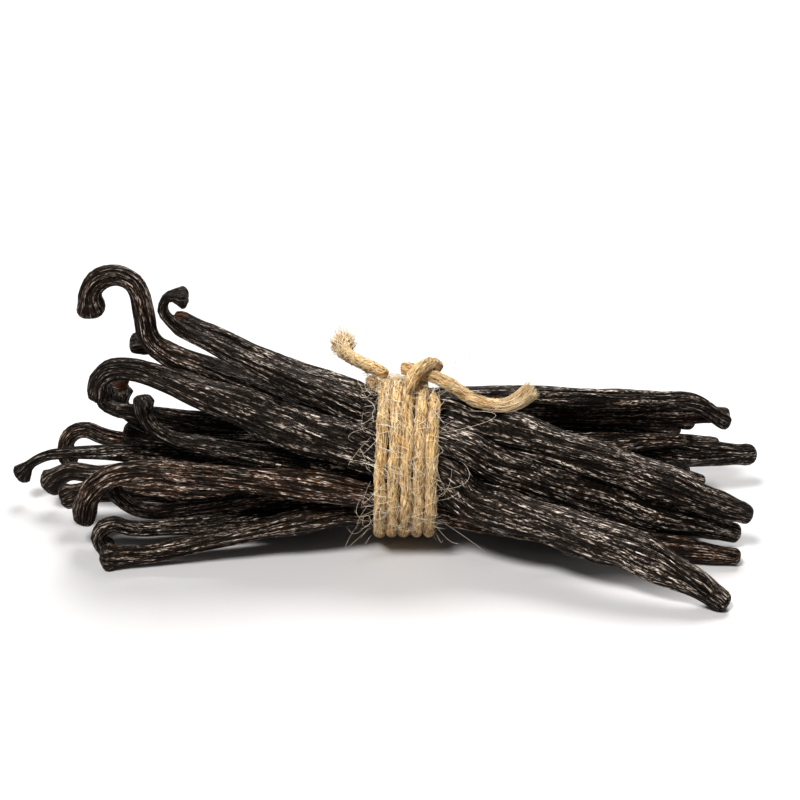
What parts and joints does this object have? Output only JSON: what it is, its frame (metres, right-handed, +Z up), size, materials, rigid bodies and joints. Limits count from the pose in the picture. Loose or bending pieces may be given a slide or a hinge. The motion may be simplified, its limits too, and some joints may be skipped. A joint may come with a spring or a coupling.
{
  "type": "bundle of vanilla pods",
  "caption": "Bundle of cured vanilla pods, dark and wrinkled with hooked stem ends, tied round its middle with jute twine.",
  "frame": {"origin": "under the middle of the tied bundle's box, on the surface that it lies on", "axes": "+X along the bundle from the hooked stem ends to the blunt tips, +Y towards the back, +Z up"},
  "size_m": [0.1798, 0.0822, 0.0655],
  "materials": {
    "pod_skin": "satin",
    "jute_twine": "matte"
  },
  "bodies": {
    "root": {"pod_01": "pod_skin", "pod_02": "pod_skin", "pod_03": "pod_skin", "pod_04": "pod_skin", "pod_05": "pod_skin", "pod_06": "pod_skin", "pod_07": "pod_skin", "pod_08": "pod_skin", "pod_09": "pod_skin", "pod_10": "pod_skin", "pod_11": "pod_skin", "pod_12": "pod_skin", "pod_13": "pod_skin", "pod_14": "pod_skin", "pod_15": "pod_skin", "pod_16": "pod_skin", "pod_17": "pod_skin", "pod_18": "pod_skin", "pod_19": "pod_skin", "twine_wraps": "jute_twine", "twine_knot": "jute_twine", "twine_tail_left": "jute_twine", "twine_tail_right": "jute_twine"}
  },
  "joints": []
}
